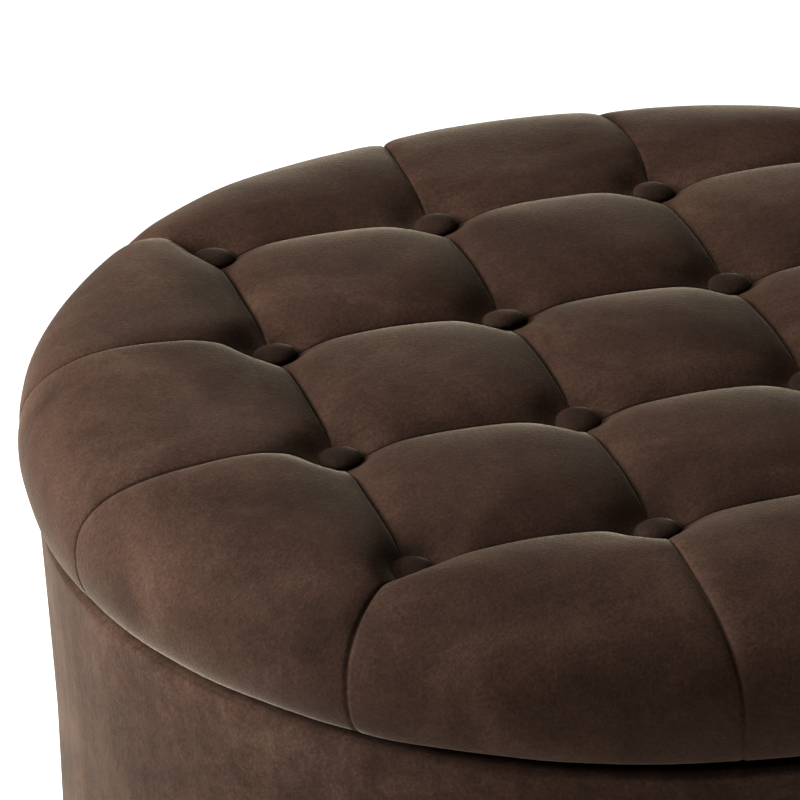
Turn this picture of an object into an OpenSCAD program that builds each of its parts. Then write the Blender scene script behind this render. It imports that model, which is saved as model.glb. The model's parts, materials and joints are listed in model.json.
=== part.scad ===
/* [Overall] */
// Height from the floor to the crown of the lid
total_h = 460; // [440:1:500]
// Height of the lid from its underside to its crown
lid_h = 75; // [72:1:80]
// Radius of the lid at its fullest
lid_r = 318; // [316:1:320]
// Radius of the upholstered drum
drum_r = 308.5; // [307:0.5:309]
// Height of the feet with their glides
foot_h = 34; // [30:1:50]

/* [Tufting] */
// Distance between neighbouring buttons
tuft_pitch = 120; // [114:1:122]
// Buttons along each side of the square grid
tuft_rows = 4; // [4:1:4]
// Diameter of a covered button
button_d = 22.5; // [20:0.5:26]
// Depth from the crown to the seat of a button
tuft_depth = 19; // [16:1:22]
// Radius of a tuft's dimple at the crown
dimple_r = 34; // [28:1:40]

/* [Drum walls] */
// Thickness of the floor panel
floor_t = 15; // [12:1:18]
// Thickness of the ring under the rim
ring_t = 18; // [15:1:20]
// Radial width of the ring
ring_w = 32; // [30:1:34]
// Thickness of the bent plywood shell
shell_t = 4; // [3:0.5:5]
// Thickness of the foam round the drum
side_foam_t = 8; // [6:1:9]
// Number of posts between the floor panel and the ring
post_count = 8; // [8:1:8]

/* [Lid layers] */
// Thickness of the lid board
board_t = 12; // [10:1:15]
// Distance from the lid's edge to the edge of its board
board_inset = 20; // [18:1:24]
// Thickness of the wadding over the foam
wadding_t = 4; // [3:1:6]
// Thickness of the upholstery fabric
cover_t = 2; // [1.5:0.1:2.5]

/* [Hinges and stays] */
// Distance of each hinge's middle from the centre line
hinge_x = 48; // [44:1:52]
// Width of a hinge
hinge_w = 52; // [46:1:54]
// Depth of a hinge leaf, measured from the pin
leaf_d = 50; // [46:1:52]
// Thickness of the hinge leaves and brackets
plate_t = 1.5; // [1.5:0.1:1.6]
// Distance of each stay's brackets from the centre line
stay_x = 152; // [150:1:153]
// Distance from the hinge pin to both stay pivots
stay_r = 150; // [149:1:151]
// Distance between a stay's two pivots with the lid closed
stay_closed = 26; // [25:1:28]
// Angle to which the stays let the lid open
lid_open = 90; // [85:1:90]

/* [Hidden] */
$fn = 96;
small_fn = 32;

// Overshoot of a cutting tool past the face that it cuts
cut = 1;
// Gap between nested curved layers
layer_gap = 0.2;
// Gap between faces that move past each other
move_gap = 0.3;
// Radial clearance of a pin in its bore
fit = 0.05;

// Heights of the drum
floor_z = foot_h + 1;
floor_top = floor_z + floor_t;
leaf_gap = 0.4;
rim_gap = 2 * plate_t + leaf_gap;
lid_z = total_h - lid_h;
rim_z = lid_z - rim_gap;
wrap_t = 1.6;
ring_top = rim_z - wrap_t;
ring_z = ring_top - ring_t;

// Radii of the drum, from the outside in
foam_r = drum_r - cover_t - layer_gap;
shell_r = foam_r - side_foam_t - layer_gap;
ring_r = shell_r - shell_t - layer_gap;
ring_in_r = ring_r - ring_w;
lining_t = 1.5;
lining_r = ring_in_r - layer_gap;
store_r = lining_r - lining_t;

// Posts
post_w = 45;
post_d = 30;

// Cover under the drum
return_w = 27;
dust_t = 1;
liner_t = 2;

// Feet
feet_r = 240;
foot_top_r = 24;
foot_low_r = 16;
glide_h = 3;
glide_r = 13;
bolt_r = 4;
bolt_in_foot = 18;
nut_barrel_r = 5;
nut_flange_r = 10;
nut_flange_t = 1.5;
nut_barrel_h = 10;

// Bumpers on the rim
bumper_r = 8;
bumper_ring_r = ring_in_r + ring_w * 0.6;
bumper_angles = [-150, -90, -30, 30, 150];

// Section of the lid: a crown, a full shoulder and a tighter roll underneath
roll_power = 2.5;
crown_r = lid_r - 82;
full_z = lid_z + 26;
under_roll = 12;
arc_step_a = 9;

// Lid layers
board_r = lid_r - board_inset;
board_z = lid_z + cover_t;
board_top = board_z + board_t;
lid_lining_r = board_r - 10;

// Buttons
button_r = button_d / 2;
seat_z = total_h - tuft_depth;
button_h = 6;
button_skirt = 1.5;
button_steps = 8;
twine_r = 0.9;
twine_bore_r = 3;
anchor_r = 8.5;
anchor_t = 2.5;
anchor_pocket = 3;
dimple_slope = (dimple_r - button_r) / tuft_depth;

// Foam under the wadding: a slab, and above it one pad for each pillow
foam_inset = cover_t + wadding_t;
slab_top = seat_z - foam_inset;
pad_gap = 1;

// Hinges
knuckles = 5;
knuckle_r = 3.2;
knuckle_w = hinge_w / knuckles;
hinge_pin_r = 1.6;
pin_head_r = 2.4;
pin_head_t = 1;
hinge_y = drum_r + 5;
hinge_z = rim_z + rim_gap / 2;
leaf_screws = [[-18, -42], [0, -33], [18, -42]];

// Screws
screw_r = 1.75;
screw_head_r = 3.5;
frame_screw_r = 2.2;
frame_screw_head_r = 4.2;
frame_screw_l = 40;
leaf_screw_l = 12;

// Staples
staple_w = 10;
staple_wire = 0.8;
staple_leg = 6;
// Distance of the staples from the inner edge of the cover's return under the drum
staple_inset = 9;

// Stays: both pivots lie on one circle about the hinge pin
lid_pivot_drop = 9.3;
lid_pivot_a = asin(lid_pivot_drop / stay_r);
stay_step_a = 2 * asin(stay_closed / (2 * stay_r));
base_pivot_a = lid_pivot_a + stay_step_a;
lid_pivot = [hinge_y - stay_r * cos(lid_pivot_a), hinge_z - stay_r * sin(lid_pivot_a)];
base_pivot = [hinge_y - stay_r * cos(base_pivot_a), hinge_z - stay_r * sin(base_pivot_a)];
stay_reach = 2 * stay_r * sin((lid_open + stay_step_a) / 2);
stay_tilt = (lid_pivot_a + base_pivot_a) / 2;
stay_pin_r = 2.9;
slot_side_gap = 0.2;
slot_end_gap = 0.5;
arm_w = 14;
arm_t = 2;
arm_x = stay_x - 1.1 - move_gap - arm_t;
pin_shoulder_r = 4.5;
stay_head_r = 5.5;
stay_head_t = 1.7;
rivet_end_r = 4;
rivet_end_t = 1.2;
bracket_w = 30;
base_tab_r = 11;
lid_tab_r = 8;
base_foot_l = 76;
lid_foot_l = 32;
bracket_screw_dy = 10;
base_screw_x = stay_x + 66;
lid_screw_x = stay_x + 16;

velvet = [0.27, 0.22, 0.18];
lining_colour = [0.16, 0.15, 0.14];
ply = [0.76, 0.62, 0.42];
foam_colour = [0.9, 0.87, 0.72];
steel = [0.66, 0.67, 0.69];

// Grid positions of the buttons, centred on the lid
function tuft_x(i) = (i - (tuft_rows - 1) / 2) * tuft_pitch;

// A point of a full, squarish curve with half-axes a and b: 0 degrees is its side, 90 its top
function roll_point(r, z, a, b, t) = [
    r + a * pow(max(cos(t), 0), 2 / roll_power),
    z + b * pow(sin(abs(t)), 2 / roll_power) * sign(t)
];

// Half-section of the lid, drawn in by inset on every side, from its underside to its crown
function lid_section(inset) = concat(
    [[0, lid_z + inset]],
    [for (t = [-90 : arc_step_a : 0])
        roll_point(lid_r - under_roll, full_z, under_roll - inset, full_z - lid_z - inset, t)],
    [for (t = [arc_step_a : arc_step_a : 90])
        roll_point(crown_r, full_z, lid_r - crown_r - inset, total_h - full_z - inset, t)],
    [[0, total_h - inset]]
);

// A screw that points down with the top of its head at the origin
module screw(length, r, head_r) {
    rotate_extrude($fn = small_fn) polygon([
        [0, 0], [head_r, 0], [r, r - head_r], [r, -length + 2 * r], [0, -length]
    ]);
}

// A hole for a countersunk screw through a plate that lies below the origin
module screw_hole(t) {
    translate([0, 0, -t - cut]) cylinder(r = screw_r + fit, h = t + 2 * cut, $fn = small_fn);
    translate([0, 0, screw_r - screw_head_r]) {
        cylinder(r1 = screw_r + fit, r2 = screw_head_r + fit, h = screw_head_r - screw_r, $fn = small_fn);
    }
}

// A staple whose wire crown lies under the origin, with its legs pointing up
module staple() {
    translate([-staple_w / 2, -staple_wire / 2, -staple_wire]) {
        cube([staple_w, staple_wire, staple_wire]);
        cube([staple_wire, staple_wire, staple_leg]);
        translate([staple_w - staple_wire, 0, 0]) cube([staple_wire, staple_wire, staple_leg]);
    }
}

module staple_ring(r, z, angles) {
    for (a = angles) {
        rotate([0, 0, a]) translate([0, r, z]) staple();
    }
}

module tube(r_out, r_in, z, h) {
    translate([0, 0, z]) difference() {
        cylinder(r = r_out, h = h);
        translate([0, 0, -cut]) cylinder(r = r_in, h = h + 2 * cut);
    }
}

module disc(r, z, h) {
    translate([0, 0, z]) cylinder(r = r, h = h);
}

module at_feet() {
    for (a = [45 : 90 : 315]) {
        rotate([0, 0, a]) translate([feet_r, 0, 0]) children();
    }
}

module at_posts() {
    for (i = [0 : post_count - 1]) {
        rotate([0, 0, (i + 0.5) * 360 / post_count]) translate([ring_in_r + post_d / 2, 0, 0]) children();
    }
}

module at_buttons() {
    for (i = [0 : tuft_rows - 1], j = [0 : tuft_rows - 1]) {
        translate([tuft_x(i), tuft_x(j), 0]) children();
    }
}

// Mirrors what is drawn for the right-hand side when side is -1
module on_side(side) {
    mirror([side < 0 ? 1 : 0, 0, 0]) children();
}

// A round bar along X between two distances from the centre line
module bar_x(x0, x1, r) {
    translate([x0, 0, 0]) rotate([0, 90, 0]) cylinder(r = r, h = x1 - x0, $fn = small_fn);
}

module floor_panel() {
    color(ply) difference() {
        disc(ring_r, floor_z, floor_t);
        at_feet() {
            translate([0, 0, floor_z - cut]) cylinder(r = nut_barrel_r + fit, h = floor_t + 2 * cut);
            translate([0, 0, floor_top - nut_flange_t]) {
                cylinder(r = nut_flange_r + fit, h = nut_flange_t + cut);
            }
        }
    }
}

module top_ring() {
    color(ply) tube(ring_r, ring_in_r, ring_z, ring_t);
}

module ring_posts() {
    color(ply) at_posts() {
        translate([-post_d / 2, -post_w / 2, floor_top]) cube([post_d, post_w, ring_z - floor_top]);
    }
}

module frame_screws() {
    color(steel) at_posts() {
        translate([0, 0, ring_top]) screw(frame_screw_l, frame_screw_r, frame_screw_head_r);
        translate([0, 0, floor_z]) {
            rotate([180, 0, 0]) screw(frame_screw_l, frame_screw_r, frame_screw_head_r);
        }
    }
}

module side_shell() {
    color(ply) tube(shell_r, shell_r - shell_t, floor_z, ring_top - floor_z);
}

module side_foam() {
    color(foam_colour) tube(foam_r, foam_r - side_foam_t, floor_z, ring_top - floor_z);
}

module side_cover() {
    color(velvet) {
        tube(drum_r, drum_r - cover_t, floor_z - cover_t, rim_z - floor_z + cover_t);
        tube(drum_r - cover_t, drum_r - return_w, floor_z - cover_t, cover_t);
    }
}

module rim_wrap() {
    color(velvet) {
        tube(drum_r - cover_t - layer_gap, store_r, ring_top, wrap_t);
        tube(lining_r, store_r, ring_z, ring_t);
    }
}

module inner_lining() {
    color(lining_colour) difference() {
        tube(lining_r, store_r, floor_top, ring_z - floor_top);
        for (side = [-1, 1]) on_side(side) {
            translate([stay_x, base_pivot[0] - bracket_w / 2 - layer_gap, ring_z - plate_t - layer_gap]) {
                cube([base_foot_l, bracket_w + 2 * layer_gap, plate_t + layer_gap + cut]);
            }
        }
    }
}

module floor_liner() {
    color(lining_colour) disc(store_r - layer_gap, floor_top, liner_t);
}

module dust_cover() {
    color("dimgray") difference() {
        disc(drum_r - return_w - layer_gap, floor_z - dust_t, dust_t);
        at_feet() translate([0, 0, floor_z - dust_t - cut]) cylinder(r = bolt_r + fit, h = dust_t + 2 * cut);
    }
}

module bottom_staples() {
    color(steel) {
        staple_ring(drum_r - return_w - staple_inset, floor_z - dust_t, [0 : 12 : 348]);
        staple_ring(drum_r - return_w + staple_inset, floor_z - cover_t, [6 : 12 : 354]);
    }
}

module feet() {
    color([0.2, 0.13, 0.09]) at_feet() {
        translate([0, 0, glide_h]) cylinder(r1 = foot_low_r, r2 = foot_top_r, h = foot_h - glide_h);
    }
}

module foot_bolts() {
    color(steel) at_feet() {
        translate([0, 0, foot_h - bolt_in_foot]) {
            cylinder(r = bolt_r, h = floor_top - foot_h + bolt_in_foot, $fn = small_fn);
        }
    }
}

module tee_nuts() {
    color(steel) at_feet() difference() {
        union() {
            translate([0, 0, floor_top - nut_flange_t]) cylinder(r = nut_flange_r, h = nut_flange_t);
            translate([0, 0, floor_top - nut_flange_t - nut_barrel_h]) {
                cylinder(r = nut_barrel_r, h = nut_barrel_h);
            }
        }
        translate([0, 0, floor_z]) cylinder(r = bolt_r + fit, h = floor_t + cut);
    }
}

module foot_glides() {
    color([0.12, 0.12, 0.12]) at_feet() cylinder(r = glide_r, h = glide_h);
}

module rim_bumpers() {
    color([0.1, 0.1, 0.1]) for (a = bumper_angles) {
        rotate([0, 0, a]) translate([bumper_ring_r, 0, rim_z]) {
            cylinder(r = bumper_r, h = rim_gap - move_gap, $fn = small_fn);
        }
    }
}

// One leaf of a butt hinge about its own pin; first is its first knuckle and z its lower face
module leaf(first, z) {
    difference() {
        union() {
            translate([-hinge_w / 2, -leaf_d, z]) {
                cube([hinge_w, leaf_d - knuckle_r - leaf_gap, plate_t]);
            }
            for (k = [first : 2 : knuckles - 1]) {
                translate([-hinge_w / 2 + k * knuckle_w + move_gap / 2, 0, 0]) {
                    bar_x(0, knuckle_w - move_gap, knuckle_r);
                    translate([0, -knuckle_r - cut, z]) {
                        cube([knuckle_w - move_gap, knuckle_r + cut, plate_t]);
                    }
                }
            }
        }
        bar_x(-hinge_w, hinge_w, hinge_pin_r + fit);
    }
}

module hinge_base_leaf(side) {
    color(steel) translate([side * hinge_x, hinge_y, hinge_z]) difference() {
        leaf(0, -rim_gap / 2);
        for (p = leaf_screws) {
            translate([p[0], p[1], plate_t - rim_gap / 2]) screw_hole(plate_t);
        }
    }
}

module hinge_lid_leaf(side) {
    color(steel) translate([side * hinge_x, hinge_y, hinge_z]) difference() {
        leaf(1, leaf_gap / 2);
        for (p = leaf_screws) {
            translate([p[0], p[1], leaf_gap / 2]) rotate([180, 0, 0]) screw_hole(plate_t);
        }
    }
}

module hinge_pin(side) {
    color(steel) translate([side * hinge_x, hinge_y, hinge_z]) {
        bar_x(-hinge_w / 2, hinge_w / 2, hinge_pin_r);
        bar_x(-hinge_w / 2 - pin_head_t, -hinge_w / 2, pin_head_r);
        bar_x(hinge_w / 2, hinge_w / 2 + pin_head_t, pin_head_r);
    }
}

module hinge_base_screws() {
    color(steel) for (side = [-1, 1], p = leaf_screws) {
        translate([side * hinge_x + p[0], hinge_y + p[1], rim_z + plate_t]) {
            screw(leaf_screw_l, screw_r, screw_head_r);
        }
    }
}

module hinge_lid_screws() {
    color(steel) for (side = [-1, 1], p = leaf_screws) {
        translate([side * hinge_x + p[0], hinge_y + p[1], lid_z - plate_t]) {
            rotate([180, 0, 0]) screw(leaf_screw_l, screw_r, screw_head_r);
        }
    }
}

// A plate in the YZ plane: a round end about a pivot, widened up to a bent foot
module tab(pivot, r, top_z) {
    difference() {
        union() {
            translate([0, pivot[0], pivot[1]]) bar_x(stay_x, stay_x + plate_t, r);
            translate([stay_x, pivot[0] - r, pivot[1]]) cube([plate_t, 2 * r, top_z - pivot[1]]);
        }
        translate([0, pivot[0], pivot[1]]) bar_x(stay_x - cut, stay_x + plate_t + cut, stay_pin_r + fit);
    }
}

module stay_base_bracket(side) {
    color(steel) on_side(side) {
        tab(base_pivot, base_tab_r, ring_z);
        difference() {
            translate([stay_x, base_pivot[0] - bracket_w / 2, ring_z - plate_t]) {
                cube([base_foot_l, bracket_w, plate_t]);
            }
            for (dy = [-bracket_screw_dy, bracket_screw_dy]) {
                translate([base_screw_x, base_pivot[0] + dy, ring_z - plate_t]) {
                    rotate([180, 0, 0]) screw_hole(plate_t);
                }
            }
        }
    }
}

module stay_lid_bracket(side) {
    color(steel) on_side(side) {
        tab(lid_pivot, lid_tab_r, lid_z);
        difference() {
            translate([stay_x, lid_pivot[0] - bracket_w / 2, lid_z - plate_t]) {
                cube([lid_foot_l, bracket_w, plate_t]);
            }
            for (dy = [-bracket_screw_dy, bracket_screw_dy]) {
                translate([lid_screw_x, lid_pivot[0] + dy, lid_z - plate_t]) {
                    rotate([180, 0, 0]) screw_hole(plate_t);
                }
            }
        }
    }
}

// A headed pin along X that carries the arm and is riveted into a tab
module pivot_pin(pivot) {
    translate([0, pivot[0], pivot[1]]) {
        bar_x(arm_x - move_gap - stay_head_t, arm_x - move_gap, stay_head_r);
        bar_x(arm_x - move_gap, stay_x + plate_t, stay_pin_r);
        bar_x(arm_x + arm_t + move_gap, stay_x, pin_shoulder_r);
        bar_x(stay_x + plate_t, stay_x + plate_t + rivet_end_t, rivet_end_r);
    }
}

module stay_pin(side) {
    color(steel) on_side(side) pivot_pin(base_pivot);
}

module stay_rivet(side) {
    color(steel) on_side(side) pivot_pin(lid_pivot);
}

// The arm, drawn downwards from the lid pivot and tilted to pass over the base pin
module stay_arm(side) {
    slot_r = stay_pin_r + slot_side_gap;
    slot_a = stay_closed - slot_end_gap;
    slot_b = stay_reach + slot_end_gap;
    color(steel) on_side(side) translate([arm_x, lid_pivot[0], lid_pivot[1]]) rotate([stay_tilt, 0, 0]) {
        difference() {
            union() {
                bar_x(0, arm_t, arm_w / 2);
                translate([0, -arm_w / 2, -slot_b]) cube([arm_t, arm_w, slot_b]);
                translate([0, 0, -slot_b]) bar_x(0, arm_t, arm_w / 2);
            }
            bar_x(-cut, arm_t + cut, stay_pin_r + fit);
            translate([-cut, -slot_r, -slot_b]) cube([arm_t + 2 * cut, 2 * slot_r, slot_b - slot_a]);
            for (z = [slot_a, slot_b]) {
                translate([0, 0, -z]) bar_x(-cut, arm_t + cut, slot_r);
            }
        }
    }
}

module stay_base_screws() {
    color(steel) for (side = [-1, 1], dy = [-bracket_screw_dy, bracket_screw_dy]) {
        translate([side * base_screw_x, base_pivot[0] + dy, ring_z - plate_t]) {
            rotate([180, 0, 0]) screw(leaf_screw_l, screw_r, screw_head_r);
        }
    }
}

module stay_lid_screws() {
    color(steel) for (side = [-1, 1], dy = [-bracket_screw_dy, bracket_screw_dy]) {
        translate([side * lid_screw_x, lid_pivot[0] + dy, lid_z - plate_t]) {
            rotate([180, 0, 0]) screw(leaf_screw_l, screw_r, screw_head_r);
        }
    }
}

// The lid's full shape drawn in by inset
module lid_solid(inset) {
    rotate_extrude() polygon(lid_section(inset));
}

// The lid's full shape with a dimple for each button, drawn in by inset
module lid_form(inset) {
    difference() {
        lid_solid(inset);
        at_buttons() translate([0, 0, seat_z - inset]) {
            cylinder(
                r1 = button_r + layer_gap + inset,
                r2 = button_r + layer_gap + inset + dimple_slope * (tuft_depth + cut),
                h = tuft_depth + cut,
                $fn = small_fn
            );
        }
    }
}

module lid_cover() {
    color(velvet) difference() {
        lid_form(0);
        lid_form(cover_t);
        disc(lid_lining_r + layer_gap, lid_z - cut, cover_t + cut);
    }
}

module lid_wadding() {
    color("white") difference() {
        lid_form(cover_t);
        lid_form(foam_inset);
        disc(board_r + layer_gap, lid_z, board_top - lid_z);
    }
}

module lid_foam() {
    color(foam_colour) intersection() {
        lid_solid(foam_inset);
        disc(lid_r, board_top, slab_top - board_top);
    }
}

// A strip of foam round the edge of the board
module lid_edge_foam() {
    color(foam_colour) intersection() {
        lid_solid(foam_inset);
        tube(lid_r, board_r + layer_gap, lid_z, board_top - lid_z);
    }
}

// A bar that runs under a button and widens upwards with the dimple
module dimple_bar() {
    low = button_r + layer_gap + foam_inset;
    h = tuft_depth + cut;
    high = low + dimple_slope * h;
    rotate([90, 0, 0]) linear_extrude(height = 2 * high, center = true) {
        polygon([[-low, 0], [low, 0], [high, h], [-high, h]]);
    }
}

// One pad for each pillow, with its corners cut back from the buttons
module tuft_pads() {
    color(foam_colour) difference() {
        intersection() {
            lid_solid(foam_inset);
            disc(lid_r, slab_top, tuft_depth);
        }
        for (i = [0 : tuft_rows - 1]) {
            translate([tuft_x(i) - pad_gap / 2, -lid_r, slab_top]) cube([pad_gap, 2 * lid_r, tuft_depth]);
            translate([-lid_r, tuft_x(i) - pad_gap / 2, slab_top]) cube([2 * lid_r, pad_gap, tuft_depth]);
        }
        at_buttons() translate([0, 0, slab_top]) rotate([0, 0, 45]) intersection() {
            dimple_bar();
            rotate([0, 0, 90]) dimple_bar();
        }
    }
}

module lid_board() {
    color(ply) difference() {
        disc(board_r, board_z, board_t);
        at_buttons() {
            translate([0, 0, board_z - cut]) {
                cylinder(r = twine_bore_r, h = board_t + 2 * cut, $fn = small_fn);
                cylinder(r = anchor_r + layer_gap, h = anchor_pocket + cut, $fn = small_fn);
            }
        }
    }
}

module lid_lining() {
    color(lining_colour) disc(lid_lining_r, lid_z, cover_t);
}

module lid_staples() {
    color(steel) staple_ring((lid_lining_r + board_r) / 2, lid_z, [20 : 10 : 340]);
}

// One row of covered buttons: a short skirt under a low dome
module tuft_buttons(row) {
    dome_h = button_h - button_skirt;
    color(velvet) for (i = [0 : tuft_rows - 1]) {
        translate([tuft_x(i), tuft_x(row), seat_z]) rotate_extrude($fn = small_fn) polygon(concat(
            [[0, 0], [button_r, 0]],
            [for (k = [0 : button_steps - 1])
                let (t = 90 * k / button_steps) [button_r * cos(t), button_skirt + dome_h * sin(t)]],
            [[0, button_h]]
        ));
    }
}

module tuft_twines() {
    color("ivory") at_buttons() {
        translate([0, 0, board_z]) cylinder(r = twine_r, h = seat_z - board_z, $fn = small_fn);
    }
}

module twine_anchors() {
    color("dimgray") at_buttons() translate([0, 0, board_z + anchor_pocket - anchor_t]) difference() {
        cylinder(r = anchor_r, h = anchor_t, $fn = small_fn);
        translate([0, 0, -cut]) cylinder(r = twine_r + fit, h = anchor_t + 2 * cut, $fn = small_fn);
    }
}

floor_panel();
top_ring();
ring_posts();
frame_screws();
side_shell();
side_foam();
side_cover();
rim_wrap();
inner_lining();
floor_liner();
dust_cover();
bottom_staples();
feet();
foot_bolts();
tee_nuts();
foot_glides();
rim_bumpers();
hinge_base_leaf(-1);  // hinge_base_leaf_left
hinge_base_leaf(1);  // hinge_base_leaf_right
hinge_pin(-1);  // hinge_pin_left
hinge_pin(1);  // hinge_pin_right
hinge_base_screws();
stay_base_bracket(-1);  // stay_base_bracket_left
stay_base_bracket(1);  // stay_base_bracket_right
stay_pin(-1);  // stay_pin_left
stay_pin(1);  // stay_pin_right
stay_base_screws();
lid_board();
lid_edge_foam();
lid_foam();
tuft_pads();
lid_wadding();
lid_cover();
tuft_buttons(3);  // tuft_buttons_back
tuft_buttons(2);  // tuft_buttons_mid_back
tuft_buttons(1);  // tuft_buttons_mid_front
tuft_buttons(0);  // tuft_buttons_front
tuft_twines();
twine_anchors();
lid_lining();
lid_staples();
hinge_lid_leaf(-1);  // hinge_lid_leaf_left
hinge_lid_leaf(1);  // hinge_lid_leaf_right
hinge_lid_screws();
stay_lid_bracket(-1);  // stay_lid_bracket_left
stay_lid_bracket(1);  // stay_lid_bracket_right
stay_rivet(-1);  // stay_rivet_left
stay_rivet(1);  // stay_rivet_right
stay_lid_screws();
stay_arm(-1);  // stay_arm_left
stay_arm(1);  // stay_arm_right
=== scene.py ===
import json
import math

import bmesh
import bpy
import numpy as np
from mathutils import Matrix, Vector, noise


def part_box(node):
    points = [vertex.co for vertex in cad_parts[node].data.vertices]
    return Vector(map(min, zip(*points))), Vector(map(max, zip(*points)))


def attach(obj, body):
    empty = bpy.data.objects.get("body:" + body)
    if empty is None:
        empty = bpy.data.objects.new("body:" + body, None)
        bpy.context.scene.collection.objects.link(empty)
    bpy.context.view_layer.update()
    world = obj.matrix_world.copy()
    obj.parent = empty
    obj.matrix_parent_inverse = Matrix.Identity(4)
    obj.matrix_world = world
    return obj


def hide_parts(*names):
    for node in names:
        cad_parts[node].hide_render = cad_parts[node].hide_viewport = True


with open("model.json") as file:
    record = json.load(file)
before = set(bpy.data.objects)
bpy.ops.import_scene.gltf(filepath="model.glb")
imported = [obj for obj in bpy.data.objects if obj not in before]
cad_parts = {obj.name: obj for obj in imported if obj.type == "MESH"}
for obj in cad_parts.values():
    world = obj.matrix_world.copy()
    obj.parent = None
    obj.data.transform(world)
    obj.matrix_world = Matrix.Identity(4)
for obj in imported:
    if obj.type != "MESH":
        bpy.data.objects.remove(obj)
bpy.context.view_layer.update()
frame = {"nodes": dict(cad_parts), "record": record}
nodes = frame["nodes"]
rng = np.random.default_rng(7)

MM = 0.001

# ---------------------------------------------------------------- sizes, all read from the frame
lid_lo, lid_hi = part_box("lid_cover")
row_lo, row_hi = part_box("tuft_buttons_back")
side_lo, side_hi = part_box("side_cover")
wrap_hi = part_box("rim_wrap")[1]
ring_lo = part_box("top_ring")[0]
lining_lo, lining_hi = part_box("inner_lining")
liner_lo, liner_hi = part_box("floor_liner")
under_lo, under_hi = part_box("lid_lining")
dust_lo, dust_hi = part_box("dust_cover")
pads_lo, pads_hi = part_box("tuft_pads")
feet_lo, feet_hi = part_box("feet")
glide_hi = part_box("foot_glides")[1]

LID_R = lid_hi.x
LID_Z = lid_lo.z
DRUM_R = side_hi.x
RIM_Z = wrap_hi.z
ROWS = 4
BUTTON_D = row_hi.y - row_lo.y
BUTTON_H = row_hi.z - row_lo.z
PITCH = (row_hi.x - row_lo.x - BUTTON_D) / (ROWS - 1)
SEAT_Z = row_lo.z
TUFT_PLANE = SEAT_Z + 4 * MM

# ---------------------------------------------------------------- camera
CAM_AZIMUTH = math.radians(-15.5)
CAM_ELEVATION = math.radians(26.6)
CAM_ROLL = math.radians(-1.9)
CAM_DISTANCE = 22.7 * PITCH
CAM_LENS = 250.6
CAM_SENSOR = 36.0
CAM_AIM = Vector((-1.136 * PITCH, -0.108 * PITCH, TUFT_PLANE))


def make_camera():
    """The camera looks at the back left of the lid from in front, a little rolled."""
    back = Vector((
        math.sin(CAM_AZIMUTH) * math.cos(CAM_ELEVATION),
        -math.cos(CAM_AZIMUTH) * math.cos(CAM_ELEVATION),
        math.sin(CAM_ELEVATION),
    ))
    right = (-back).cross(Vector((0, 0, 1))).normalized()
    up = right.cross(-back)
    x = right * math.cos(CAM_ROLL) + up * math.sin(CAM_ROLL)
    y = up * math.cos(CAM_ROLL) - right * math.sin(CAM_ROLL)
    place = Matrix((x, y, back)).transposed().to_4x4()
    place.translation = CAM_AIM + back * CAM_DISTANCE
    data = bpy.data.cameras.new("camera")
    data.lens = CAM_LENS
    data.sensor_width = CAM_SENSOR
    data.clip_end = 50
    camera = bpy.data.objects.new("camera", data)
    camera.matrix_world = place
    bpy.context.scene.collection.objects.link(camera)
    bpy.context.scene.camera = camera


make_camera()


# ---------------------------------------------------------------- materials
class Shader:
    """A Principled material and short calls that add nodes to it."""

    def __init__(self, name, roughness=0.8, metallic=0.0):
        self.material = bpy.data.materials.new(name)
        self.material.use_nodes = True
        self.tree = self.material.node_tree
        self.bsdf = self.tree.nodes["Principled BSDF"]
        self.bsdf.inputs["Roughness"].default_value = roughness
        self.bsdf.inputs["Metallic"].default_value = metallic
        self.place = self.add("ShaderNodeTexCoord").outputs["Object"]

    def add(self, kind, **settings):
        node = self.tree.nodes.new(kind)
        for key, value in settings.items():
            if hasattr(node, key):
                setattr(node, key, value)
            else:
                node.inputs[key].default_value = value
        return node

    def link(self, a, b):
        self.tree.links.new(a, b)

    def stretched(self, scale):
        mapping = self.add("ShaderNodeMapping")
        mapping.inputs["Scale"].default_value = scale
        self.link(self.place, mapping.inputs["Vector"])
        return mapping.outputs["Vector"]

    def noise(self, scale, detail=3.0, rough=0.55, distortion=0.0, stretch=None):
        node = self.add("ShaderNodeTexNoise", Scale=scale, Detail=detail, Roughness=rough, Distortion=distortion)
        self.link(self.stretched(stretch) if stretch else self.place, node.inputs["Vector"])
        return node.outputs["Fac"]

    def ramp(self, value, stops):
        node = self.add("ShaderNodeValToRGB")
        ramp = node.color_ramp
        while len(ramp.elements) < len(stops):
            ramp.elements.new(0.5)
        for element, (at, colour) in zip(ramp.elements, stops):
            element.position = at
            element.color = (*colour, 1)
        self.link(value, node.inputs["Fac"])
        return node.outputs["Color"]

    def mix(self, a, b, share, blend="MIX"):
        node = self.add("ShaderNodeMix", data_type="RGBA", blend_type=blend)
        for value, socket in ((share, node.inputs[0]), (a, node.inputs[6]), (b, node.inputs[7])):
            if isinstance(value, (int, float)):
                socket.default_value = value
            elif isinstance(value, tuple):
                socket.default_value = (*value, 1)
            else:
                self.link(value, socket)
        return node.outputs[2]

    def colour(self, output):
        self.link(output, self.bsdf.inputs["Base Color"])

    def rough(self, value, low, high):
        node = self.add("ShaderNodeMapRange")
        node.inputs["To Min"].default_value = low
        node.inputs["To Max"].default_value = high
        self.link(value, node.inputs["Value"])
        self.link(node.outputs["Result"], self.bsdf.inputs["Roughness"])

    def bump(self, value, depth):
        node = self.add("ShaderNodeBump", Strength=1.0, Distance=depth)
        self.link(value, node.inputs["Height"])
        if self.bsdf.inputs["Normal"].is_linked:
            self.link(self.bsdf.inputs["Normal"].links[0].from_socket, node.inputs["Normal"])
        self.link(node.outputs["Normal"], self.bsdf.inputs["Normal"])


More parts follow.
